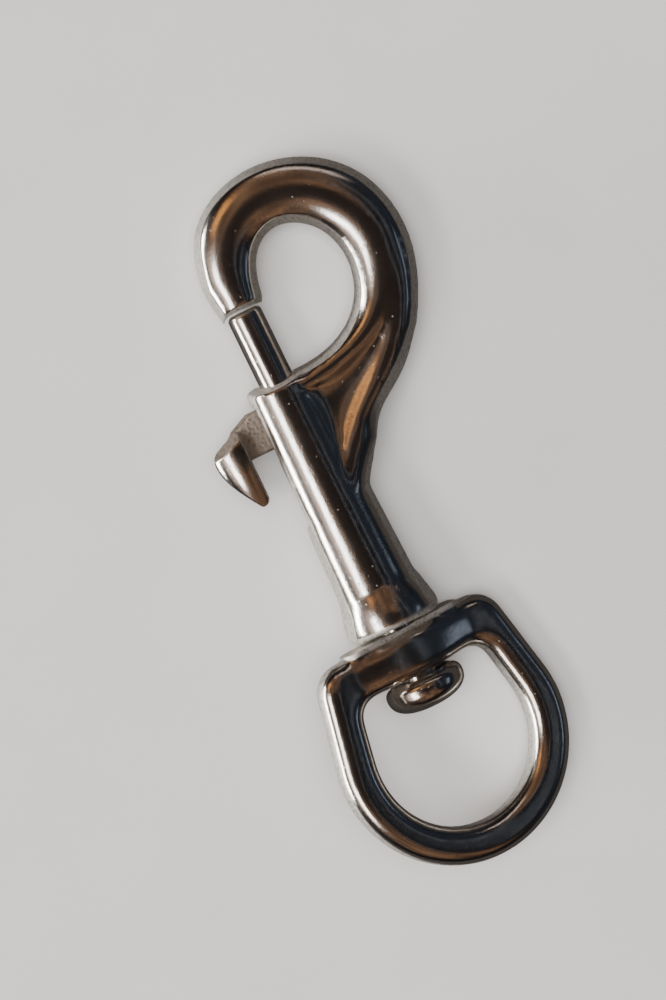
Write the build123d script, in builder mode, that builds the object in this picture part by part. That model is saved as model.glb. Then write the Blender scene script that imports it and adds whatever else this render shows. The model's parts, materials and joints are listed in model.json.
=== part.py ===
"""Swivel bolt snap: a cast hook with a sliding spring bolt and a strap eye that turns on a stud.

Each piece is drawn straight, with the barrel's axis along +Y, the hook at the +Y end, the hook's
flat plane in XY and the tail face at y = 0. The last section lays the snap on its side, resting on
the tail flare, the bow of the hook and one limb of the eye. Lengths are in millimetres.
"""

import os
from math import asin, atan, degrees, hypot, radians, tan

from build123d import *

os.makedirs("parts", exist_ok=True)

# Fits
running_clearance = 0.05
press_clearance = 0.01
side_clearance = 0.3
end_clearance = 0.35

# Barrel
bore_radius = 2.5
tail_radius = 6.1
flare_radius = 6.75
flare_y = 1.7
neck_y = 10.0
neck_radius = 5.5
mouth_radius = 4.7
mouth_y = 37.4

# Hook
nose_y = 46.9
nose_left = -3.1
nose_right = 2.7
hook_depth = 8.4
hook_half_depth = hook_depth / 2
bow_top_y = 64.4
bow_reach = 24.9
bow_width = 9.0
bow_line_y = bow_top_y - bow_width / 2
web_half_depth = 2.6
draft_angle = 17.0
socket_depth = 0.8

# Sliding bolt and its trigger
bolt_radius = bore_radius - running_clearance
bolt_tip_y = nose_y + socket_depth - end_clearance
bolt_tail_y = 24.6
travel = 11.0
arm_top_y = 34.7
arm_length = 5.9
arm_depth = 2.9
spigot_radius = 1.3
spigot_reach = 1.2
pad_half_depth = 3.7
pad_face_x = -7.8
pad_tip_y = 22.5

# Spring
wire_radius = 0.3
coil_radius = bore_radius - side_clearance - wire_radius
coils = 8

# Stud
stud_radius = bore_radius - press_clearance
stud_seat_y = 8.0
head_radius = 5.65
head_height = 4.5

# Eye
eye_radius = 17.0
limb = 5.3
limb_round = 2.1
crossbar_width = 6.3
crossbar_half_depth = 4.2
pad_height = 0.5
eye_bore_radius = stud_radius + 0.08
pad_top_y = -end_clearance
pad_stand = 0.05
eye_centre_y = pad_top_y - pad_stand - eye_radius
crossbar_top_y = pad_top_y - pad_height
crossbar_low_y = crossbar_top_y - crossbar_width
head_top_y = crossbar_low_y - side_clearance


def inset_outline(face, inset, height):
    """The same outline drawn inward by the inset, lifted to the height."""
    edges = face.outer_wire().order_edges()

    def across(edge, at):
        tangent = edge % at
        return Vector(-tangent.Y, tangent.X, 0)

    probe = (edges[0] @ 0.5) + across(edges[0], 0.5) * 0.01
    side = inset if face.is_inside(probe) else -inset
    corners = []
    for before, edge in zip([edges[-1]] + list(edges[:-1]), edges):
        first = across(before, 1)
        second = across(edge, 0)
        corners.append((edge @ 0) + (first + second) * (side / (1 + first.dot(second))))
    corners.append(corners[0])
    moved = []
    for edge, start, end in zip(edges, corners, corners[1:]):
        if edge.geom_type == GeomType.LINE:
            moved.append(Edge.make_line(start, end))
        else:
            middle = [(edge @ (i / 16)) + across(edge, i / 16) * side for i in range(1, 16)]
            moved.append(Edge.make_spline([start] + middle + [end], tangents=(edge % 0, edge % 1)))
    return Pos(0, 0, height) * Face(Wire(moved))


# Barrel with its flared tail
with BuildPart() as barrel:
    with BuildSketch(Plane.XY):
        with BuildLine():
            Line((0, 0), (tail_radius, 0))
            flare = Spline(
                (tail_radius, 0),
                (flare_radius, flare_y),
                (5.85, 5.4),
                (neck_radius, neck_y),
                tangents=((1, 0.5), (-0.03, 1)),
            )
            Line(flare @ 1, (mouth_radius, mouth_y))
            Line((mouth_radius, mouth_y), (mouth_radius, mouth_y + 1))
            Line((mouth_radius, mouth_y + 1), (0, mouth_y + 1))
            Line((0, mouth_y + 1), (0, 0))
        make_face()
    revolve(axis=Axis.Y)

# Round bow of the hook, which thins into the rim between the hole and the barrel's mouth
with BuildPart() as bow:
    with BuildLine():
        bow_line = Spline(
            (-0.2, nose_y - 1),
            (0.2, 50.9),
            (3.0, 57.4),
            (9.2, bow_line_y),
            (16.7, 56.8),
            (bow_reach - bow_width / 2, 48.3),
            (17.6, 41.0),
            (12.0, 36.9),
            (7.0, 35.7),
            (0.0, 35.4),
            tangents=((0, 1), (-1, 0)),
        )
    bow_halves = (4.2, 4.4, 4.8, 5.1, 5.2, 5.2, 5.2, 4.8, 3.6, 2.8, 2.6, 2.5)
    for i, half in enumerate(bow_halves):
        at = i / (len(bow_halves) - 1)
        with BuildSketch(Plane(bow_line @ at, x_dir=(0, 0, 1), z_dir=bow_line % at)):
            Ellipse(hook_half_depth, half)
    loft()

# Spine that carries the bow's outer side down into the barrel
with BuildPart() as spine:
    with BuildLine():
        spine_line = Spline(
            (19.6, 50),
            (20.1, 42.5),
            (16.2, 34.8),
            (10.2, 29.4),
            (5.2, 23.5),
            (1.6, 12.0),
            tangents=((0.1, -1), (-0.1, -1)),
        )
    spine_halves = (4.0, 3.6, 3.2, 3.2, 3.0, 2.6)
    for i, half in enumerate(spine_halves):
        at = i / (len(spine_halves) - 1)
        with BuildSketch(Plane(spine_line @ at, x_dir=(0, 0, 1), z_dir=spine_line % at)):
            Ellipse(hook_half_depth - 0.15 + 0.3 * at, half)
    loft()

# Outline of the whole casting, drawn in by the draft on both sides of the parting plane
with BuildSketch(Plane.XY) as outline:
    with BuildLine():
        Line((nose_right, nose_y), (nose_left, nose_y))
        Spline(
            (nose_left, nose_y),
            (-3.65, 51.5),
            (-1.2, 59.6),
            (5.0, 63.7),
            (14.0, 63.6),
            (22.1, 57.9),
            (bow_reach, 48.8),
            (21.9, 38.0),
            (14.8, 29.8),
            (8.5, 24.8),
            (6.3, 18.5),
            (neck_radius + 0.2, neck_y),
            tangents=((-0.2, 1), (0, -1)),
        )
        Spline(
            (neck_radius + 0.2, neck_y),
            (5.95, 5.4),
            (flare_radius, flare_y),
            tangents=((0, -1), (0.2, -1)),
        )
        Line((flare_radius, flare_y), (flare_radius + 0.4, -1))
        Line((flare_radius + 0.4, -1), (-flare_radius - 0.4, -1))
        Line((-flare_radius - 0.4, -1), (-flare_radius, flare_y))
        Spline(
            (-flare_radius, flare_y),
            (-5.85, 5.4),
            (-neck_radius, neck_y),
            tangents=((0.2, 1), (0.03, 1)),
        )
        Line((-neck_radius, neck_y), (-mouth_radius, mouth_y))
        Line((-mouth_radius, mouth_y), (nose_right, mouth_y))
        Spline(
            (nose_right, mouth_y),
            (8.0, 38.0),
            (12.7, 40.6),
            (15.7, 47.2),
            (13.2, 53.8),
            (8.6, 55.6),
            (4.8, 52.9),
            (3.5, 48.8),
            (nose_right, nose_y),
            tangents=((1, 0), (-0.6, -1)),
        )
    make_face()
draft_height = hook_half_depth + 0.1
draft_top = inset_outline(outline.face(), draft_height * tan(radians(draft_angle)), draft_height)

with BuildPart() as flanks:
    loft([outline.face(), draft_top], ruled=True)
    extrude(draft_top, amount=3, dir=(0, 0, 1))
    mirror(about=Plane.XY)

with BuildPart() as waste:
    with Locations((bow_reach / 2, bow_top_y / 2, 0)):
        Box(60, 90, 14)
    add(flanks.part, mode=Mode.SUBTRACT)

slot_top_y = arm_top_y + side_clearance
slot_low_y = arm_top_y - arm_length - travel - side_clearance
slot_depth = arm_depth + 2 * side_clearance

with BuildPart() as casting:
    add(bow.part)
    add(spine.part)
    add(barrel.part)
    with BuildSketch(Plane.XY):
        Polygon((0, 36), (12, 38), (20, 44), (21, 36), (10, 26), (3, 18), (0, 18), align=None)
    extrude(amount=web_half_depth, both=True)
    add(waste.part, mode=Mode.SUBTRACT)
    # Bore through the barrel, and the shallow socket in the nose that takes the bolt's tip
    with BuildSketch(Plane((0, -1, 0), x_dir=(1, 0, 0), z_dir=(0, 1, 0))):
        Circle(bore_radius)
    extrude(amount=mouth_y + 3, mode=Mode.SUBTRACT)
    with BuildSketch(Plane((0, nose_y - 1, 0), x_dir=(1, 0, 0), z_dir=(0, 1, 0))):
        Circle(bolt_radius + side_clearance)
    extrude(amount=socket_depth + 1, mode=Mode.SUBTRACT)
    # Slot for the trigger's arm
    with BuildSketch(Plane((-bore_radius / 2, (slot_top_y + slot_low_y) / 2, 0), x_dir=(0, 1, 0), z_dir=(-1, 0, 0))):
        RectangleRounded(slot_top_y - slot_low_y, slot_depth, 0.8)
    extrude(amount=flare_radius, mode=Mode.SUBTRACT)

# Sliding bolt
with BuildPart() as bolt:
    with BuildSketch(Plane((0, bolt_tail_y, 0), x_dir=(1, 0, 0), z_dir=(0, 1, 0))):
        Circle(bolt_radius)
    extrude(amount=bolt_tip_y - bolt_tail_y)
    fillet(bolt.edges().filter_by(GeomType.CIRCLE).sort_by(Axis.Y)[-1], 0.7)
    chamfer(bolt.edges().filter_by(GeomType.CIRCLE).sort_by(Axis.Y)[0], 0.3)
    with BuildSketch(Plane((-bolt_radius - 1, arm_top_y - arm_length / 2, 0), x_dir=(0, 1, 0), z_dir=(1, 0, 0))):
        Circle(spigot_radius + press_clearance)
    extrude(amount=bolt_radius + 1 + spigot_reach + press_clearance, mode=Mode.SUBTRACT)

# Thumb trigger: a beaked pad on a flat arm, with a spigot pressed into the bolt
with BuildSketch(Plane.XY) as pad_outline:
    with BuildLine():
        Spline(
            (pad_face_x, arm_top_y - 0.5),
            (-9.6, 32.5),
            (-12.0, 31.4),
            (-12.4, 29.4),
            (-10.9, 25.4),
            (-9.1, pad_tip_y),
            tangents=((-0.9, -0.6), (0.65, -1)),
        )
        RadiusArc((-9.1, pad_tip_y), (pad_face_x, pad_tip_y + 0.6), -1.0)
        Line((pad_face_x, pad_tip_y + 0.6), (pad_face_x, arm_top_y - 0.5))
    make_face()

with BuildPart() as pad_crown:
    with BuildLine():
        pad_line = Line((-8.6, arm_top_y + 1), (-9.2, pad_tip_y - 1))
    pad_halves = ((2.4, 3.2), (3.7, 4.4), (3.2, 3.6), (1.7, 1.8))
    for i, (depth, half) in enumerate(pad_halves):
        at = i / (len(pad_halves) - 1)
        with BuildSketch(Plane(pad_line @ at, x_dir=(0, 0, 1), z_dir=pad_line % at)):
            Ellipse(depth, half)
    loft()

with BuildPart() as trigger:
    extrude(pad_outline.face(), amount=pad_half_depth + 1, both=True)
    add(pad_crown.part, mode=Mode.INTERSECT)
    with BuildSketch(Plane((pad_face_x - 1, arm_top_y - arm_length / 2, 0), x_dir=(0, 1, 0), z_dir=(1, 0, 0))):
        RectangleRounded(arm_length, arm_depth, 0.6)
    extrude(amount=-pad_face_x + 1 - bolt_radius + 1)
    with BuildSketch(Plane((0, 0, 0), x_dir=(1, 0, 0), z_dir=(0, 1, 0))):
        Circle(bolt_radius + press_clearance)
    extrude(amount=bolt_tip_y, mode=Mode.SUBTRACT)
    with BuildSketch(Plane((-bolt_radius - 1, arm_top_y - arm_length / 2, 0), x_dir=(0, 1, 0), z_dir=(1, 0, 0))):
        Circle(spigot_radius)
    extrude(amount=bolt_radius + 1 + spigot_reach)

# Spring between the stud and the bolt
spring_low_y = stud_seat_y + wire_radius + running_clearance
spring_high_y = bolt_tail_y - wire_radius - running_clearance
with BuildPart() as coil:
    with BuildLine():
        turns = Helix(
            pitch=(spring_high_y - spring_low_y) / coils,
            height=spring_high_y - spring_low_y,
            radius=coil_radius,
            center=(0, spring_low_y, 0),
            direction=(0, 1, 0),
        )
    with BuildSketch(Plane(turns @ 0, z_dir=turns % 0)):
        Circle(wire_radius)
    sweep(path=turns, is_frenet=True)

# Stud: a round shank set in the tail, with a domed head inside the eye
with BuildPart() as stud:
    with BuildSketch(Plane.XY):
        with BuildLine():
            Line((0, stud_seat_y), (stud_radius - 0.4, stud_seat_y))
            Line((stud_radius - 0.4, stud_seat_y), (stud_radius, stud_seat_y - 0.4))
            Line((stud_radius, stud_seat_y - 0.4), (stud_radius, head_top_y))
            Line((stud_radius, head_top_y), (head_radius - 0.9, head_top_y))
            head_side = Spline(
                (head_radius - 0.9, head_top_y),
                (head_radius, head_top_y - 1.5),
                (head_radius - 0.9, head_top_y - 3.3),
                (head_radius - 3.0, head_top_y - head_height + 0.25),
                tangents=((1, -0.5), (-1, -0.3)),
            )
            Spline(
                head_side @ 1,
                (0, head_top_y - head_height),
                tangents=(head_side % 1, (-1, 0)),
            )
            Line((0, head_top_y - head_height), (0, stud_seat_y))
        make_face()
    revolve(axis=Axis.Y)

# Strap eye: a D-shaped ring whose thick crossbar has the bore and a flat pad that faces the tail
inner_radius = eye_radius - limb
corner_radius = 4.0
corner_x = eye_radius - 2.4 - corner_radius
inner_corner_radius = 2.8
inner_corner_x = inner_radius - 1.3 - inner_corner_radius
with BuildSketch(Plane.XY) as ring_outline:
    with Locations((0, eye_centre_y)):
        Circle(eye_radius)
    with Locations((corner_x, crossbar_top_y - corner_radius), (-corner_x, crossbar_top_y - corner_radius)):
        Circle(corner_radius)
    make_hull()
with BuildSketch(Plane.XY) as ring_hole:
    with Locations((0, eye_centre_y)):
        Circle(inner_radius)
    corner_y = crossbar_low_y - inner_corner_radius
    with Locations((inner_corner_x, corner_y), (-inner_corner_x, corner_y)):
        Circle(inner_corner_radius)
    make_hull()

crossbar_y = (crossbar_top_y + crossbar_low_y) / 2
crossbar_reach = inner_radius - 0.7
with BuildPart() as crossbar:
    for at in (-1, -0.6, 0, 0.6, 1):
        depth = 2 * crossbar_half_depth - 3.8 * abs(at) ** 1.4
        width = crossbar_width - 0.5 * abs(at)
        with BuildSketch(Plane((at * crossbar_reach, crossbar_y, 0), x_dir=(0, 1, 0), z_dir=(1, 0, 0))):
            RectangleRounded(width, depth, 1.9)
    loft()

with BuildPart() as ring:
    extrude(ring_outline.sketch, amount=limb / 2, both=True)
    extrude(ring_hole.sketch, amount=limb, both=True, mode=Mode.SUBTRACT)
    fillet(ring.faces().filter_by(Plane.XY).edges(), limb_round)
    add(crossbar.part)
    with BuildSketch(Plane((0, pad_top_y, 0), x_dir=(1, 0, 0), z_dir=(0, -1, 0))):
        RectangleRounded(18, 5.6, 2.0)
    extrude(amount=pad_height + 1)
    with BuildSketch(Plane((0, 0, 0), x_dir=(1, 0, 0), z_dir=(0, -1, 0))):
        Circle(eye_bore_radius)
    extrude(amount=crossbar_width + 3, mode=Mode.SUBTRACT)

# Lie: the axis dips from the tail flare to the bow, and the eye turns until one limb touches down
dip = degrees(atan((flare_radius - hook_half_depth) / (bow_line_y - flare_y)))
ground = flare_radius + (flare_y - eye_centre_y) * tan(radians(dip))
round_x = eye_radius - limb_round
round_z = limb / 2 - limb_round
reach = hypot(round_x, round_z)
eye_turn = degrees(asin((ground - limb_round - 0.02) / reach) - atan(round_z / round_x))
laid = Rot(-dip, 0, 0)
turned = laid * Rot(0, eye_turn, 0)
pieces = [laid * casting.part, laid * bolt.part, laid * trigger.part, laid * stud.part, turned * ring.part]
box = Compound(children=pieces).bounding_box()
rest = Pos(-box.center().X, -box.center().Y, -box.min.Z)

with BuildPart() as hook_body:
    with Locations(rest * laid):
        add(casting.part)
hook_body.part.label = "hook_body"
export_step(hook_body.part, "parts/hook_body.step")

with BuildPart() as gate_bolt:
    with Locations(rest * laid):
        add(bolt.part)
gate_bolt.part.label = "gate_bolt"
export_step(gate_bolt.part, "parts/gate_bolt.step")

with BuildPart() as thumb_trigger:
    with Locations(rest * laid):
        add(trigger.part)
thumb_trigger.part.label = "thumb_trigger"
export_step(thumb_trigger.part, "parts/thumb_trigger.step")

with BuildPart() as bolt_spring:
    with Locations(rest * laid):
        add(coil.part)
bolt_spring.part.label = "bolt_spring"
export_step(bolt_spring.part, "parts/bolt_spring.step")

with BuildPart() as swivel_stud:
    with Locations(rest * laid):
        add(stud.part)
swivel_stud.part.label = "swivel_stud"
export_step(swivel_stud.part, "parts/swivel_stud.step")

with BuildPart() as swivel_eye:
    with Locations(rest * turned):
        add(ring.part)
swivel_eye.part.label = "swivel_eye"
export_step(swivel_eye.part, "parts/swivel_eye.step")

print("dip", round(dip, 4), "eye turn", round(eye_turn, 3), "tail face centre", (rest * laid).position)
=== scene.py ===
"""Swivel bolt snap in bright nickel: a cast hook with a spring bolt, and a strap eye that turns on a stud."""

import json
import math

import bpy
from mathutils import Matrix, Vector


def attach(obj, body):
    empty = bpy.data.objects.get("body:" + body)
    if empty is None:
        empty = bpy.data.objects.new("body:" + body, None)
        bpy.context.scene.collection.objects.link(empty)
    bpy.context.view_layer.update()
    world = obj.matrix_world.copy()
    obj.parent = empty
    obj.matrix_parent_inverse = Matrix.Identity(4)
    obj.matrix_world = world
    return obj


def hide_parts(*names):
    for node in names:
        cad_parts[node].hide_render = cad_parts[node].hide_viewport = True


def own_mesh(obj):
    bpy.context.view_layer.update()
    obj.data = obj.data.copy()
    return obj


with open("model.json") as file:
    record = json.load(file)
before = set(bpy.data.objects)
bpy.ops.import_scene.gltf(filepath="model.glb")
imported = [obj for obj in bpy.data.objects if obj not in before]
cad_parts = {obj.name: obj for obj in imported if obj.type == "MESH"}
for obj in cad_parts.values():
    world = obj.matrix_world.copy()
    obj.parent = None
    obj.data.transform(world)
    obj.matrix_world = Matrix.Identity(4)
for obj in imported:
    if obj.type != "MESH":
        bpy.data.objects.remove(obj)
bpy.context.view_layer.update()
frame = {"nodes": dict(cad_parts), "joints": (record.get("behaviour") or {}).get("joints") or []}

bl_info = {
    "name": "Swivel bolt snap",
    "version": (1, 0, 0),
    "blender": (4, 5, 0),
    "location": "3D View > Sidebar > Snap",
    "description": "Models and finishes a nickel-plated swivel bolt snap around its CAD frame",
    "category": "Add Mesh",
}

# The snap's own directions and the middle of its tail face, which the eye's joint lies below
JOINTS = {joint["name"]: joint for joint in frame["joints"]}
SLIDE = -Vector(JOINTS["bolt_slide"]["axis"]).normalized()
ACROSS = Vector((1, 0, 0))
UPRIGHT = ACROSS.cross(SLIDE)
JOINT_DEPTH = 0.004
TAIL = Vector(JOINTS["eye_swivel"]["pos_m"]) + SLIDE * JOINT_DEPTH
LAID = Matrix((ACROSS, SLIDE, UPRIGHT)).transposed()
PAD_SLOPE = ACROSS * -0.415 + SLIDE * 0.91

# Places on the casting, in metres: across from the axis and along it from the tail face
MOUTH_CORNER = (-0.0047, 0.0374)
NOSE_CORNER = (-0.0031, 0.0469)
SLOT_END = (-0.0054, 0.0175)
WEB_THROAT = (0.0056, 0.0352)
PAD_CORNER = (-0.0051, 0.0351)

# The trigger's slope leans this far to each side of its ridge, in degrees
SLOPE_LEAN = 24

# Share of the stud's head that is dome
HEAD_CROWN = 0.66

# Edges broken on the turned pieces, the spring's play at each end, and how near corners merge, in metres
BOLT_EDGE = 0.0003
SHANK_EDGE = 0.0004
HEAD_EDGE = 0.0009
SEAT_EDGE = 0.0013
SEAT_DROP = 0.0003
SPRING_PLAY = 0.00005
MERGED = 2e-7

FLOOR_RADIUS = 2.5

# Floor and room, as linear colours
DARK_FLOOR = (0.055, 0.052, 0.05, 1)
PALE_ROOM = (0.5, 0.5, 0.5, 1)
DIM_ROOM = (0.008, 0.009, 0.011, 1)
COOL_ROOM = (0.022, 0.030, 0.044, 1)
WARM_ROOM = (0.26, 0.150, 0.088, 1)

# Lamp name, place, the point it looks at, size, watts and tint
LAMPS = (
    ("window_light", (-0.82, -0.10, 1.00), (0, 0, 0), (0.95, 0.30), 8, (0.96, 0.98, 1.0)),
    ("window_glow", (-1.02, 0.05, 0.90), (0, 0, 0), (1.15, 0.66), 1.5, (1.0, 0.78, 0.68)),
    ("warm_light", (-0.55, 0.90, 0.80), (0, 0, 0), (0.45, 0.35), 0.5, (1.0, 0.44, 0.12)),
    ("ridge_light", (0.49, 1.00, 0.66), (0, 0, 0), (0.9, 0.07), 0.4, (1.0, 0.85, 0.78)),
    ("cool_light", (1.15, -0.3, 0.5), (0, 0, 0), (0.5, 0.12), 0.12, (0.6, 0.75, 1.0)),
    ("batten_near", (0.52, 0.0, 1.2), (0, 0, 0), (1.5, 0.02), 0.05, (0.9, 0.92, 1.0)),
    ("batten_far", (0.84, 0.1, 1.0), (0, 0, 0), (1.5, 0.03), 0.06, (0.75, 0.85, 1.0)),
    ("flank_light", (-1.2, 0.35, 0.12), (0, 0, 0.01), (1.2, 0.13), 22, (1.0, 0.98, 0.95)),
    ("soft_top", (-0.2, 0.2, 2.2), (0, 0, 0), (1.6, 1.6), 52, (1.0, 0.99, 0.98)),
)

# The camera's lean and roll in degrees, its distance and target in metres, and its lens in millimetres
CAMERA_LEAN = 6
CAMERA_ROLL = -26.0
CAMERA_AWAY = 0.4
CAMERA_TARGET = (-0.00447, 0.00417, 0.006)
CAMERA_LENS = 106.3


def length(name, default, description):
    """A length property in metres."""
    return bpy.props.FloatProperty(
        name=name, default=default, description=description, subtype="DISTANCE", unit="LENGTH", precision=5
    )


def share(name, default, description):
    """A plain share between 0 and 1."""
    return bpy.props.FloatProperty(
        name=name, default=default, description=description, min=0, max=1, subtype="FACTOR"
    )


def colour(name, default, description):
    """A linear colour."""
    return bpy.props.FloatVectorProperty(
        name=name, default=default, description=description, size=3, min=0, max=1, subtype="COLOR"
    )


class SnapSizes(bpy.types.PropertyGroup):
    """Sizes of the turned pieces and of the meshes."""

    casting_mesh: length("Hook mesh", 0.00023, "Size of one face on the cast hook")
    eye_mesh: length("Eye mesh", 0.00018, "Size of one face on the strap eye")
    trigger_mesh: length("Trigger mesh", 0.00012, "Size of one face on the thumb trigger")
    bolt_radius: length("Bolt radius", 0.00245, "Radius of the sliding bolt")
    bolt_tail: length("Bolt tail", 0.0246, "Where the bolt starts, from the tail face")
    bolt_tip: length("Bolt tip", 0.04735, "Where the bolt ends, from the tail face")
    bolt_round: length("Bolt tip rounding", 0.0008, "Rounding at the bolt's tip")
    spigot_radius: length("Spigot hole radius", 0.00131, "Radius of the hole that takes the trigger's spigot")
    spigot_reach: length("Spigot hole depth", 0.00121, "How far past the axis the spigot hole goes")
    spigot_place: length("Spigot hole place", 0.03175, "Where the spigot hole is, from the tail face")
    shank_radius: length("Shank radius", 0.00249, "Radius of the stud's shank")
    shank_seat: length("Shank seat", 0.008, "How deep the stud's shank goes into the tail")
    head_top: length("Head seat", -0.00745, "Where the stud's head starts, from the tail face")
    head_radius: length("Head radius", 0.00565, "Radius of the stud's head")
    head_height: length("Head height", 0.0045, "Height of the stud's head")
    eye_turn: bpy.props.FloatProperty(
        name="Eye turn",
        default=math.radians(19.395),
        description="How far the eye is turned on its stud",
        subtype="ANGLE",
        unit="ROTATION",
    )
    wire_radius: length("Wire radius", 0.0003, "Radius of the spring's wire")
    coil_radius: length("Coil radius", 0.0019, "Radius of the spring's coils at the wire's centre")
    coils: bpy.props.IntProperty(name="Coils", default=8, min=2, description="Number of coils in the spring")


class SnapFinish(bpy.types.PropertyGroup):
    """Colours and finishes."""

    nickel: colour("Nickel", (0.70, 0.655, 0.605), "Colour of the bright nickel plate")
    shade: colour("Nickel shade", (0.56, 0.50, 0.45), "Colour of the plate where it is thinner or handled")
    frost: colour("Satin nickel", (0.74, 0.71, 0.66), "Colour of the frosted plate on the flanks")
    raw: colour("Rough nickel", (0.42, 0.355, 0.30), "Colour of the plate over the rough arm")
    wire: colour("Spring wire", (0.50, 0.49, 0.48), "Colour of the drawn spring wire")
    polish: share("Polished roughness", 0.155, "Roughness of the tumbled crowns")
    satin: share("Satin roughness", 0.55, "Roughness of the drafted flanks")
    satin_metal: share("Satin metal", 0.89, "How metallic the drafted flanks look")
    ripple: length("Ripple", 0.000012, "Depth of the slow waves that plating over a casting keeps")
    grain: length("Grain", 0.000014, "Depth of the plate's orange peel")
    pits: length("Pits", 0.00003, "Depth of the small pits")
    pit_cover: share("Pit cover", 0.5, "How much of the plate is free of pits")
    worn: share("Handling", 0.5, "How much the plate is smeared by handling")
    floor: colour("Floor", (0.80, 0.79, 0.78), "Colour of the floor")


def deselect():
    """Nothing selected, in object mode."""
    if bpy.context.object and bpy.context.object.mode != "OBJECT":
        bpy.ops.object.mode_set(mode="OBJECT")
    bpy.ops.object.select_all(action="DESELECT")


def pick(obj):
    """Only this object selected, and active."""
    deselect()
    obj.select_set(True)
    bpy.context.view_layer.objects.active = obj
    return obj


def added(name):
    """The primitive that was just added, under its own name."""
    obj = bpy.context.object
    obj.name = name
    obj.data.name = name
    return obj


def copied(node, name):
    """A copy of a CAD node with its loose triangles merged."""
    pick(frame["nodes"][node])
    bpy.ops.object.duplicate()
    obj = added(name)
    bpy.ops.object.mode_set(mode="EDIT")
    bpy.ops.mesh.select_all(action="SELECT")
    bpy.ops.mesh.remove_doubles(threshold=MERGED)
    bpy.ops.object.mode_set(mode="OBJECT")
    return obj


def modifier(obj, kind, **settings):
    """Adds a modifier, sets it and applies it."""
    pick(obj)
    bpy.ops.object.modifier_add(type=kind)
    made = obj.modifiers[-1]
    for key, value in settings.items():
        setattr(made, key, value)
    bpy.ops.object.modifier_apply(modifier=made.name)


def evened(obj, size, passes):
    """An even skin over the piece, relaxed so that its edges round over as a plated casting's do."""
    modifier(obj, "REMESH", mode="VOXEL", voxel_size=size, adaptivity=0)
    modifier(obj, "SMOOTH", factor=0.5, iterations=passes)


def straight(point):
    """A point's place before the snap was laid down: across, along the axis from the tail face, and up."""
    away = point - TAIL
    return away.dot(ACROSS), away.dot(SLIDE), away.dot(UPRIGHT)


def eased(value, low, high):
    """0 below low, 1 above high and a smooth step between them."""
    at = min(1, max(0, (value - low) / (high - low)))
    return at * at * (3 - 2 * at)


def blended(obj, passes, weigh):
    """Relaxes the skin further where the weight says, as a fillet that is worked in by hand."""
    soft = obj.vertex_groups.new(name="blend")
    for vertex in obj.data.vertices:
        weight = weigh(vertex)
        if weight > 0.001:
            soft.add((vertex.index,), weight, "REPLACE")
    modifier(obj, "SMOOTH", factor=0.5, iterations=passes, vertex_group="blend")
    obj.vertex_groups.clear()


def smoothed(obj, angle=180):
    """Smooth shading, split where faces meet at more than the angle."""
    pick(obj)
    bpy.ops.object.shade_smooth_by_angle(angle=math.radians(angle))


def lay(obj):
    """Moves a piece that was made along +Y from the tail face to its place, into its mesh."""
    pick(obj)
    obj.matrix_world = Matrix.Translation(TAIL) @ LAID.to_4x4()
    bpy.ops.object.transform_apply(location=True, rotation=True, scale=True)


def turned(name, stations, sides=96):
    """A round piece on the Y axis: a disc that is extruded and scaled through (place, radius) stations."""
    deselect()
    place, radius = stations[0]
    facing = (math.pi / 2, 0, 0)
    bpy.ops.mesh.primitive_circle_add(
        vertices=sides, radius=radius, fill_type="TRIFAN", location=(0, place, 0), rotation=facing
    )
    obj = added(name)
    bpy.ops.object.transform_apply(location=True, rotation=True, scale=True)
    bpy.ops.object.mode_set(mode="EDIT")
    bpy.ops.mesh.select_all(action="SELECT")
    for (before, wide), (after, narrow) in zip(stations, stations[1:]):
        bpy.ops.mesh.extrude_region_move(TRANSFORM_OT_translate={"value": (0, after - before, 0)})
        ratio = narrow / wide
        bpy.ops.transform.resize(value=(ratio, 1, ratio), center_override=(0, after, 0))
    bpy.ops.mesh.select_all(action="SELECT")
    bpy.ops.mesh.normals_make_consistent(inside=False)
    bpy.ops.object.mode_set(mode="OBJECT")
    return obj


def quarter(centre, radius, rise, start, end, steps):
    """Stations along part of an ellipse: place centre + rise sin, radius + rise cos."""
    for i in range(steps + 1):
        angle = math.radians(start + (end - start) * i / steps)
        yield centre + rise[0] * math.sin(angle), radius + rise[1] * math.cos(angle)


def flank(vertex, upright, edge=0.62):
    """How far a point faces the sides of the mould, from 0 on the crown to 1 on a drafted flank."""
    return 1 - eased(abs(vertex.normal.dot(upright)), edge - 0.16, edge)


def masked(obj, weigh):
    """Stores a weight for each point, which the material reads as its satin mask."""
    mask = obj.data.attributes.new("flank", "FLOAT", "POINT")
    mask.data.foreach_set("value", [weigh(vertex) for vertex in obj.data.vertices])


# Node groups


def group(name, inputs, outputs):
    """An empty shader node group with float inputs and typed outputs."""
    tree = bpy.data.node_groups.new(name, "ShaderNodeTree")
    for label, kind, default in inputs:
        socket = tree.interface.new_socket(label, in_out="INPUT", socket_type=kind)
        socket.default_value = default
    for label, kind in outputs:
        tree.interface.new_socket(label, in_out="OUTPUT", socket_type=kind)
    return tree


def node(tree, kind, inputs=None, **settings):
    """Adds a node. Inputs are sockets to link or values to set, by name or number."""
    made = tree.nodes.new(kind)
    for key, value in settings.items():
        setattr(made, key, value)
    for key, value in (inputs or {}).items():
        if isinstance(value, bpy.types.NodeSocket):
            tree.links.new(value, made.inputs[key])
        else:
            made.inputs[key].default_value = value
    return made


def worked(tree, operation, *values):
    """The value that a Math node works out."""
    return node(tree, "ShaderNodeMath", dict(enumerate(values)), operation=operation).outputs[0]


def carried(tree, value, low, high, first, last, kind="LINEAR"):
    """A value carried from the range low to high onto the range first to last."""
    reach = {0: value, 1: low, 2: high, 3: first, 4: last}
    return node(tree, "ShaderNodeMapRange", reach, interpolation_type=kind).outputs[0]


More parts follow.
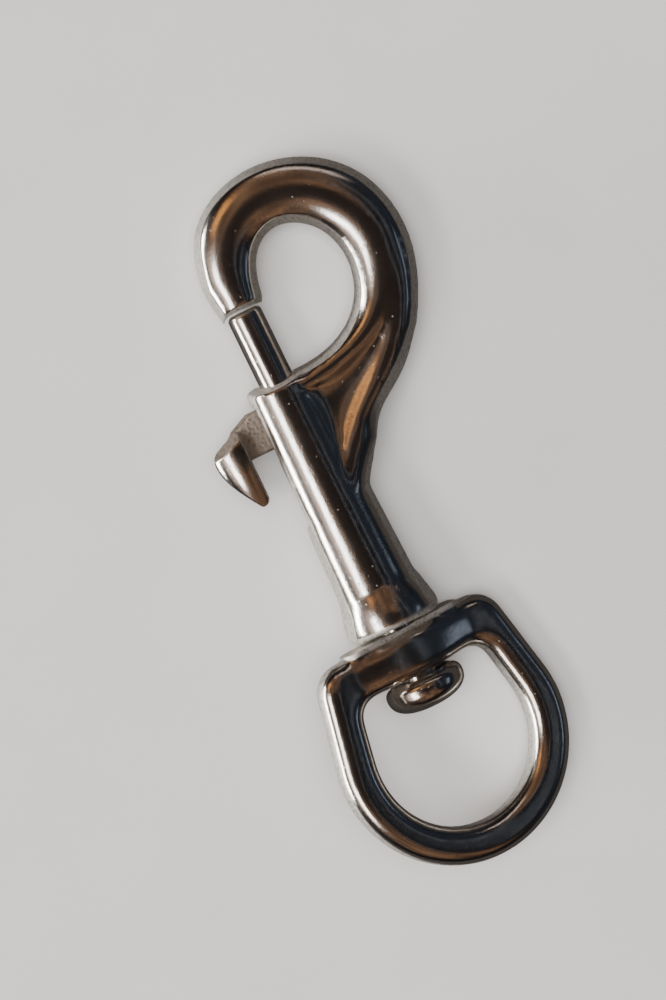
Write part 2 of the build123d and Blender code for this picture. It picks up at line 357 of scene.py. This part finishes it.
def mixed(tree, weight, first, last):
    """The first colour blended into the last one by a weight."""
    return node(tree, "ShaderNodeMix", {0: weight, 6: first, 7: last}, data_type="RGBA").outputs[2]


def clouds(tree, place, scale, detail, roughness=0.5):
    """Soft noise at a scale."""
    look = {"Vector": place, "Scale": scale, "Detail": detail, "Roughness": roughness}
    return node(tree, "ShaderNodeTexNoise", look).outputs[0]


def cells(tree, place, scale):
    """Distance to the nearest of many scattered points."""
    look = {"Vector": place, "Scale": scale, "Randomness": 1}
    return node(tree, "ShaderNodeTexVoronoi", look).outputs["Distance"]


def darker(tint, by):
    """A colour times a share, with its alpha."""
    return (*[part * by for part in tint], 1)


def shared(name, build):
    """A node group that is built once."""
    return bpy.data.node_groups.get(name) or build()


def placed(tree, used, **values):
    """Places a shared node group in a material with its own values."""
    made = node(tree, "ShaderNodeGroup", node_tree=used)
    for key, value in values.items():
        made.inputs[key.replace("_", " ")].default_value = value
    return made.outputs


def blank(name):
    """An empty material and its node tree."""
    material = bpy.data.materials.new(name)
    material.use_nodes = True
    material.node_tree.nodes.clear()
    return material, material.node_tree


def plate_relief():
    """Height, in metres, of the slow ripple, the fine orange peel and the scattered pits of the plate."""
    tree = group(
        "Plate relief",
        (
            ("Ripple", "NodeSocketFloat", 0.00001),
            ("Grain", "NodeSocketFloat", 0.000002),
            ("Pits", "NodeSocketFloat", 0.00003),
            ("Pit Cover", "NodeSocketFloat", 0.5),
        ),
        (("Height", "NodeSocketFloat"), ("Pit Mask", "NodeSocketFloat")),
    )
    given = node(tree, "NodeGroupInput").outputs
    place = node(tree, "ShaderNodeTexCoord").outputs["Object"]
    waves = worked(tree, "MULTIPLY", clouds(tree, place, 190, 2), given["Ripple"])
    peel = clouds(tree, place, 2600, 4, 0.65)
    reach = carried(tree, cells(tree, place, 1050), 0.05, 0.14, 1, 0, "SMOOTHSTEP")
    chance = worked(tree, "GREATER_THAN", clouds(tree, place, 420, 1), given["Pit Cover"])
    pit = worked(tree, "MULTIPLY", reach, chance)
    fine = worked(tree, "MULTIPLY_ADD", peel, given["Grain"], waves)
    height = worked(tree, "SUBTRACT", fine, worked(tree, "MULTIPLY", pit, given["Pits"]))
    node(tree, "NodeGroupOutput", {"Height": height, "Pit Mask": pit})
    return tree


def handling():
    """Mask of smears and fine wipe marks left on plate by handling."""
    tree = group("Handling", (("Amount", "NodeSocketFloat", 0.5),), (("Smear", "NodeSocketFloat"),))
    given = node(tree, "NodeGroupInput").outputs
    place = node(tree, "ShaderNodeTexCoord").outputs["Object"]
    both = worked(tree, "MULTIPLY", clouds(tree, place, 120, 5, 0.6), clouds(tree, place, 1500, 4, 0.7))
    smear = carried(tree, both, 0.16, 0.38, 0, 1, "SMOOTHSTEP")
    node(tree, "NodeGroupOutput", {"Smear": worked(tree, "MULTIPLY", smear, given["Amount"])})
    return tree


def cast_grain():
    """Height, in metres, of the sandy skin that a casting keeps where it isn't tumbled bright."""
    tree = group(
        "Cast grain",
        (("Depth", "NodeSocketFloat", 0.00001),),
        (("Height", "NodeSocketFloat"), ("Grit", "NodeSocketFloat")),
    )
    given = node(tree, "NodeGroupInput").outputs
    place = node(tree, "ShaderNodeTexCoord").outputs["Object"]
    both = worked(tree, "ADD", clouds(tree, place, 2300, 4, 0.65), cells(tree, place, 1900))
    height = worked(tree, "MULTIPLY", both, given["Depth"])
    node(tree, "NodeGroupOutput", {"Height": height, "Grit": carried(tree, both, 0.55, 1.0, 0, 1)})
    return tree


def plated(name, finish, ripple=1.0, sand=0.000006, satin=True, frost=None):
    """Bright nickel plate. Where the flank mask says, it is satin and keeps its cast grain."""
    material, tree = blank(name)
    surface = placed(
        tree,
        shared("Plate relief", plate_relief),
        Ripple=finish.ripple * ripple,
        Grain=finish.grain,
        Pits=finish.pits,
        Pit_Cover=finish.pit_cover,
    )
    smear = placed(tree, shared("Handling", handling), Amount=finish.worn)["Smear"]
    tone = mixed(tree, smear, (*finish.nickel, 1), (*finish.shade, 1))
    tone = mixed(tree, surface["Pit Mask"], tone, darker(finish.shade, 0.5))
    rough = carried(tree, smear, 0, 1, finish.polish, finish.polish + 0.1)
    height, metal = surface["Height"], 1.0
    if satin:
        side = node(tree, "ShaderNodeAttribute", attribute_name="flank").outputs["Fac"]
        skin = placed(tree, shared("Cast grain", cast_grain), Depth=sand)
        frost = frost or finish.frost
        sanded = carried(tree, skin["Grit"], 0, 1, finish.satin - 0.06, finish.satin + 0.08)
        rough = node(tree, "ShaderNodeMix", {0: side, 2: rough, 3: sanded}, data_type="FLOAT").outputs[0]
        metal = carried(tree, side, 0, 1, 1, finish.satin_metal)
        height = worked(tree, "MULTIPLY_ADD", skin["Height"], side, height)
        tone = mixed(tree, side, tone, mixed(tree, skin["Grit"], darker(frost, 0.55), (*frost, 1)))
    bump = node(tree, "ShaderNodeBump", {"Height": height, "Strength": 1.0, "Distance": 1.0})
    coat = {"Base Color": tone, "Roughness": rough, "Metallic": metal, "Normal": bump.outputs[0]}
    shader = node(tree, "ShaderNodeBsdfPrincipled", coat)
    node(tree, "ShaderNodeOutputMaterial", {"Surface": shader.outputs[0]})
    return material


def drawn_wire(name, finish):
    """Dull drawn wire with fine lines along it."""
    material, tree = blank(name)
    place = node(tree, "ShaderNodeTexCoord").outputs["Object"]
    lines = clouds(tree, place, 2600, 4)
    tone = mixed(tree, lines, (*finish.wire, 1), darker(finish.wire, 0.6))
    rough = carried(tree, lines, 0.3, 0.7, 0.22, 0.42)
    bump = node(tree, "ShaderNodeBump", {"Height": lines, "Strength": 0.3, "Distance": 0.00002})
    steel = {"Base Color": tone, "Roughness": rough, "Metallic": 1.0, "Normal": bump.outputs[0]}
    shader = node(tree, "ShaderNodeBsdfPrincipled", steel)
    node(tree, "ShaderNodeOutputMaterial", {"Surface": shader.outputs[0]})
    return material


def pale_floor(name, finish):
    """Matt pale floor, faintly mottled. Reflections see it dark, as the plate shows it in a dim room."""
    material, tree = blank(name)
    place = node(tree, "ShaderNodeTexCoord").outputs["Object"]
    tone = mixed(tree, clouds(tree, place, 60, 6), (*finish.floor, 1), darker(finish.floor, 0.93))
    glossy = node(tree, "ShaderNodeLightPath").outputs["Is Glossy Ray"]
    seen = mixed(tree, glossy, tone, DARK_FLOOR)
    matt = node(tree, "ShaderNodeBsdfPrincipled", {"Base Color": seen, "Roughness": 0.9})
    matt.inputs["Specular IOR Level"].default_value = 0.1
    node(tree, "ShaderNodeOutputMaterial", {"Surface": matt.outputs[0]})
    return material


def finished(obj, material, body, slot, *nodes):
    """Gives a piece its material and its body, and hides the CAD nodes that it stands for. The slot argument
    is not used.
    """
    obj.data.materials.clear()
    obj.data.materials.append(material)
    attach(obj, body)
    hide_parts(*nodes)


# Pieces


class SNAP_OT_hook(bpy.types.Operator):
    """Cast hook: barrel, bow, spine and web"""

    bl_idname = "snap.hook"
    bl_label = "Cast hook"

    def execute(self, context):
        sizes, finish = context.scene.snap_sizes, context.scene.snap_finish
        hook = copied("hook_body", "cast_hook")
        evened(hook, sizes.casting_mesh, 7)
        blended(hook, 60, self.valley)
        blended(hook, 400, self.hollow)
        blended(hook, 60, self.corners)
        smoothed(hook)
        masked(hook, self.satin)
        finished(hook, plated("Bright nickel casting", finish), "hook", "plated_casting", "hook_body")
        return {"FINISHED"}

    def corners(self, vertex):
        """Weight of the corners at the mouth and the nose, of the slot's end, and of the web's two ends."""
        across, along, up = straight(vertex.co)
        mouth = self.near(across, along, MOUTH_CORNER, 0.0008, 0.0019)
        nose = self.near(across, along, NOSE_CORNER, 0.0006, 0.0014)
        foot = eased(across, 0.0045, 0.0065) * eased(along, 0.016, 0.020) * (1 - eased(along, 0.034, 0.040))
        hole = eased(along, 0.0345, 0.036)
        slot_end = self.near(across, along, SLOT_END, 0.0010, 0.0024)
        throat = self.near(across, along, WEB_THROAT, 0.0016, 0.0034)
        throat *= 1 - flank(vertex, UPRIGHT, 0.72)
        return max(mouth, nose, slot_end, throat, foot * (1 - hole)) * self.off_axis(across, up)

    def near(self, across, along, place, low, high):
        """Weight that is 1 at a place on the casting and fades to 0 between two distances from it."""
        return 1 - eased(math.hypot(across - place[0], along - place[1]), low, high)

    def satin(self, vertex):
        """Mask of the drafted flanks and of the tail's rim."""
        along = straight(vertex.co)[1]
        return max(flank(vertex, UPRIGHT), 1 - eased(along, 0.0006, 0.0012))

    def hollow(self, vertex):
        """Weight of the web's low ground alone."""
        return self.valley(vertex) * (1 - eased(abs(straight(vertex.co)[2]), 0.0030, 0.0037))

    def valley(self, vertex):
        """Weight of the web and of what rises from it: the barrel's side, the hole's rim and the spine."""
        across, along, up = straight(vertex.co)
        inside = eased(across, 0.0005, 0.003) * eased(along, 0.010, 0.018) * (1 - eased(along, 0.046, 0.054))
        crown = (1 - flank(vertex, UPRIGHT, 0.72)) * eased(abs(up), 0.0008, 0.0016)
        return inside * crown * self.off_axis(across, up)

    def off_axis(self, across, up):
        """Weight that leaves the bore as it was drilled."""
        return eased(math.hypot(across, up), 0.0030, 0.0037)


class SNAP_OT_eye(bpy.types.Operator):
    """Strap eye with its crossbar"""

    bl_idname = "snap.eye"
    bl_label = "Strap eye"

    def execute(self, context):
        sizes, finish = context.scene.snap_sizes, context.scene.snap_finish
        eye = copied("swivel_eye", "strap_eye")
        evened(eye, sizes.eye_mesh, 8)
        blended(eye, 110, self.shoulder)
        smoothed(eye)
        upright = ACROSS * math.sin(sizes.eye_turn) + UPRIGHT * math.cos(sizes.eye_turn)
        masked(eye, lambda vertex: max(flank(vertex, upright, 0.42), self.pad(vertex)))
        finished(eye, plated("Bright nickel eye", finish), "eye", "plated_eye", "swivel_eye")
        return {"FINISHED"}

    def pad(self, vertex):
        """Mask of the flat pad that faces the tail."""
        return eased(straight(vertex.co)[1], -0.0012, -0.0009)

    def shoulder(self, vertex):
        """Weight of the crossbar and of the shoulders where it runs into the limbs, but not of its bore."""
        across, along, up = straight(vertex.co)
        near = eased(along, -0.019, -0.012) * (1 - eased(along, -0.0012, -0.0008))
        return near * eased(math.hypot(across, up), 0.0032, 0.0042)


class SNAP_OT_bolt(bpy.types.Operator):
    """Sliding bolt with a rounded tip and the hole for the trigger's spigot"""

    bl_idname = "snap.bolt"
    bl_label = "Sliding bolt"

    def execute(self, context):
        sizes, finish = context.scene.snap_sizes, context.scene.snap_finish
        radius, rounding = sizes.bolt_radius, sizes.bolt_round
        stations = [(sizes.bolt_tail, radius - BOLT_EDGE), (sizes.bolt_tail + BOLT_EDGE, radius)]
        stations += quarter(sizes.bolt_tip - rounding, radius - rounding, (rounding, rounding), 0, 80, 8)
        stations.append((sizes.bolt_tip, radius * 0.3))
        bolt = turned("sliding_bolt", stations)
        deselect()
        deep = radius + sizes.spigot_reach
        bpy.ops.mesh.primitive_cylinder_add(
            vertices=64,
            radius=sizes.spigot_radius,
            depth=deep * 2,
            location=(sizes.spigot_reach - deep, sizes.spigot_place, 0),
            rotation=(0, math.pi / 2, 0),
        )
        drill = added("drill")
        bpy.ops.object.transform_apply(location=True, rotation=True, scale=True)
        modifier(bolt, "BOOLEAN", operation="DIFFERENCE", object=drill, solver="EXACT")
        pick(drill)
        bpy.ops.object.delete()
        smoothed(bolt, 28)
        lay(bolt)
        material = plated("Bright nickel bolt", finish, ripple=0.4, satin=False)
        finished(bolt, material, "gate", "plated_bolt", "gate_bolt")
        return {"FINISHED"}


class SNAP_OT_trigger(bpy.types.Operator):
    """Thumb trigger: a beaked pad on a rough flat arm"""

    bl_idname = "snap.trigger"
    bl_label = "Thumb trigger"

    def execute(self, context):
        sizes, finish = context.scene.snap_sizes, context.scene.snap_finish
        trigger = copied("thumb_trigger", "beaked_trigger")
        for side in (1, -1):
            self.slope(trigger, side)
        evened(trigger, sizes.trigger_mesh, 7)
        smoothed(trigger)
        masked(trigger, self.arm)
        material = plated("Bright nickel trigger", finish, sand=0.00008, frost=finish.raw)
        finished(trigger, material, "gate", "plated_trigger", "thumb_trigger")
        return {"FINISHED"}

    def slope(self, trigger, side):
        """Cuts one side of the long slope from the barrel's mouth down to the pad's outer corner."""
        lean = math.radians(SLOPE_LEAN)
        face = PAD_SLOPE * math.cos(lean) + UPRIGHT * side * math.sin(lean)
        pick(trigger)
        bpy.ops.object.mode_set(mode="EDIT")
        bpy.ops.mesh.select_all(action="SELECT")
        edge = TAIL + ACROSS * PAD_CORNER[0] + SLIDE * PAD_CORNER[1]
        bpy.ops.mesh.bisect(plane_co=edge, plane_no=face, use_fill=True, clear_outer=True)
        bpy.ops.object.mode_set(mode="OBJECT")

    def arm(self, vertex):
        """Mask of the rough arm, of the slope above it and of the pad's face towards the barrel."""
        across = straight(vertex.co)[0]
        return max(eased(across, -0.0080, -0.0077), eased(vertex.normal.dot(PAD_SLOPE), 0.74, 0.86))


class SNAP_OT_stud(bpy.types.Operator):
    """Swivel stud: a shank set in the tail and a domed head inside the eye"""

    bl_idname = "snap.stud"
    bl_label = "Swivel stud"

    def execute(self, context):
        sizes, finish = context.scene.snap_sizes, context.scene.snap_finish
        top, wide, high = sizes.head_top, sizes.head_radius, sizes.head_height
        crown = HEAD_CROWN * high
        waist = top - high + crown
        stations = [(top - high, wide * 0.12)]
        for i in range(1, 15):
            angle = math.radians(i * 90 / 14)
            stations.append((waist - crown * math.cos(angle) ** 0.85, wide * math.sin(angle) ** 0.72))
        shoulder = high - crown - SEAT_DROP
        for i in range(1, 7):
            angle = math.radians(i * 90 / 6)
            stations.append((waist + shoulder * math.sin(angle), wide - HEAD_EDGE * (1 - math.cos(angle))))
        seat, shank = sizes.shank_seat, sizes.shank_radius
        stations += [(top, wide - SEAT_EDGE), (top + 0.00001, shank)]
        stations += [(seat - SHANK_EDGE, shank), (seat, shank - SHANK_EDGE)]
        stud = turned("domed_stud", stations)
        smoothed(stud, 35)
        lay(stud)
        material = plated("Bright nickel stud", finish, satin=False)
        finished(stud, material, "hook", "plated_stud", "swivel_stud")
        return {"FINISHED"}


class SNAP_OT_spring(bpy.types.Operator):
    """Coil spring between the stud and the bolt"""

    bl_idname = "snap.spring"
    bl_label = "Coil spring"

    def execute(self, context):
        sizes, finish = context.scene.snap_sizes, context.scene.snap_finish
        low = sizes.shank_seat + sizes.wire_radius + SPRING_PLAY
        high = sizes.bolt_tail - sizes.wire_radius - SPRING_PLAY
        deselect()
        bpy.ops.mesh.primitive_circle_add(
            vertices=12, radius=sizes.wire_radius, location=(sizes.coil_radius, low, 0)
        )
        spring = added("coil_spring")
        bpy.ops.object.transform_apply(location=True, rotation=True, scale=True)
        modifier(
            spring,
            "SCREW",
            axis="Y",
            angle=math.tau * sizes.coils,
            screw_offset=high - low,
            steps=36 * sizes.coils,
            render_steps=36 * sizes.coils,
            use_merge_vertices=False,
        )
        pick(spring)
        bpy.ops.object.mode_set(mode="EDIT")
        bpy.ops.mesh.select_all(action="DESELECT")
        bpy.ops.mesh.select_non_manifold()
        bpy.ops.mesh.edge_face_add()
        bpy.ops.mesh.select_all(action="SELECT")
        bpy.ops.mesh.normals_make_consistent(inside=False)
        bpy.ops.object.mode_set(mode="OBJECT")
        smoothed(spring, 40)
        lay(spring)
        finished(spring, drawn_wire("Drawn spring wire", finish), "hook", "spring_wire", "bolt_spring")
        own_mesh(spring)
        return {"FINISHED"}


class SNAP_OT_stage(bpy.types.Operator):
    """Pale floor, soft lights and the camera"""

    bl_idname = "snap.stage"
    bl_label = "Stage"

    def execute(self, context):
        deselect()
        bpy.ops.mesh.primitive_circle_add(vertices=96, radius=FLOOR_RADIUS, fill_type="NGON")
        floor = added("floor")
        floor.data.materials.append(pale_floor("Pale floor", context.scene.snap_finish))
        for lamp in LAMPS:
            self.lamp(*lamp)
        bpy.data.objects["soft_top"].visible_glossy = False
        self.room()
        self.camera()
        return {"FINISHED"}

    def lamp(self, name, place, aim, size, power, tint):
        """A rectangular soft light."""
        deselect()
        bpy.ops.object.light_add(type="AREA", location=place)
        lamp = bpy.context.object
        lamp.name = name
        lamp.rotation_euler = (Vector(aim) - Vector(place)).to_track_quat("-Z", "Y").to_euler()
        lamp.data.shape = "RECTANGLE"
        lamp.data.size, lamp.data.size_y = size
        lamp.data.energy = power
        lamp.data.color = tint

    def room(self):
        """A dim room for reflections, warm at the left and cool at the right. The camera sees it pale."""
        world = bpy.data.worlds.new("Studio room")
        bpy.context.scene.world = world
        world.use_nodes = True
        tree = world.node_tree
        tree.nodes.clear()
        way = node(tree, "ShaderNodeTexCoord").outputs["Generated"]
        apart = node(tree, "ShaderNodeSeparateXYZ", {0: way}).outputs
        slant = worked(tree, "MULTIPLY_ADD", worked(tree, "ABSOLUTE", apart[1]), -0.6, apart[0])
        left = carried(tree, slant, 0.30, 0.02, 0, 1, "SMOOTHSTEP")
        high = carried(tree, apart[2], 0.30, 0.62, 0, 1, "SMOOTHSTEP")
        zenith = carried(tree, apart[2], 0.925, 0.975, 1, 0.10, "SMOOTHSTEP")
        stretched = node(tree, "ShaderNodeMapping", {"Vector": way, "Scale": (3.0, 1.2, 2.0)}).outputs[0]
        patch = carried(tree, clouds(tree, stretched, 1.5, 1.5), 0.38, 0.62, 0.28, 1.0, "SMOOTHSTEP")
        warm = worked(tree, "MULTIPLY", worked(tree, "MULTIPLY", left, high), patch)
        cool = carried(tree, apart[0], 0.45, 0.85, 0, 1, "SMOOTHSTEP")
        base = mixed(tree, worked(tree, "MULTIPLY", cool, patch), DIM_ROOM, COOL_ROOM)
        all_round = mixed(tree, worked(tree, "MULTIPLY", warm, zenith), base, WARM_ROOM)
        seen = node(tree, "ShaderNodeLightPath").outputs["Is Camera Ray"]
        back = node(tree, "ShaderNodeBackground", {0: mixed(tree, seen, all_round, PALE_ROOM), 1: 1.0})
        node(tree, "ShaderNodeOutputWorld", {0: back.outputs[0]})

    def camera(self):
        """Nearly straight down, leaning towards the hook."""
        lean, roll = math.radians(CAMERA_LEAN), math.radians(CAMERA_ROLL)
        turn = Matrix.Rotation(-lean, 3, "X") @ Matrix.Rotation(roll, 3, "Z")
        place = Vector(CAMERA_TARGET) + turn.col[2] * CAMERA_AWAY
        deselect()
        bpy.ops.object.camera_add(location=place, rotation=turn.to_euler())
        camera = bpy.context.object
        camera.name = "camera"
        camera.data.sensor_fit = "VERTICAL"
        camera.data.sensor_height = 36
        camera.data.lens = CAMERA_LENS
        camera.data.clip_start = 0.01
        bpy.context.scene.camera = camera


PIECES = (
    SNAP_OT_hook,
    SNAP_OT_eye,
    SNAP_OT_bolt,
    SNAP_OT_trigger,
    SNAP_OT_stud,
    SNAP_OT_spring,
    SNAP_OT_stage,
)


class SNAP_PT_panel(bpy.types.Panel):
    """The snap's pieces"""

    bl_idname = "SNAP_PT_panel"
    bl_label = "Swivel bolt snap"
    bl_space_type = "VIEW_3D"
    bl_region_type = "UI"
    bl_category = "Snap"

    def draw(self, context):
        """A button for each piece, and the sizes and finishes."""
        for piece in PIECES:
            self.layout.operator(piece.bl_idname)
        for settings in (context.scene.snap_sizes, context.scene.snap_finish):
            column = self.layout.column()
            for key in settings.__annotations__:
                column.prop(settings, key)


CLASSES = (SnapSizes, SnapFinish, *PIECES, SNAP_PT_panel)


def register():
    """Registers the classes and hangs the settings on the scene."""
    for item in CLASSES:
        bpy.utils.register_class(item)
    bpy.types.Scene.snap_sizes = bpy.props.PointerProperty(type=SnapSizes)
    bpy.types.Scene.snap_finish = bpy.props.PointerProperty(type=SnapFinish)


def unregister():
    """Takes the settings and the classes away again."""
    del bpy.types.Scene.snap_finish
    del bpy.types.Scene.snap_sizes
    for item in reversed(CLASSES):
        bpy.utils.unregister_class(item)


def main():
    """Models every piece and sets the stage."""
    register()
    bpy.ops.snap.hook()
    bpy.ops.snap.eye()
    bpy.ops.snap.bolt()
    bpy.ops.snap.trigger()
    bpy.ops.snap.stud()
    bpy.ops.snap.spring()
    bpy.ops.snap.stage()


if __name__ == "__main__":
    main()
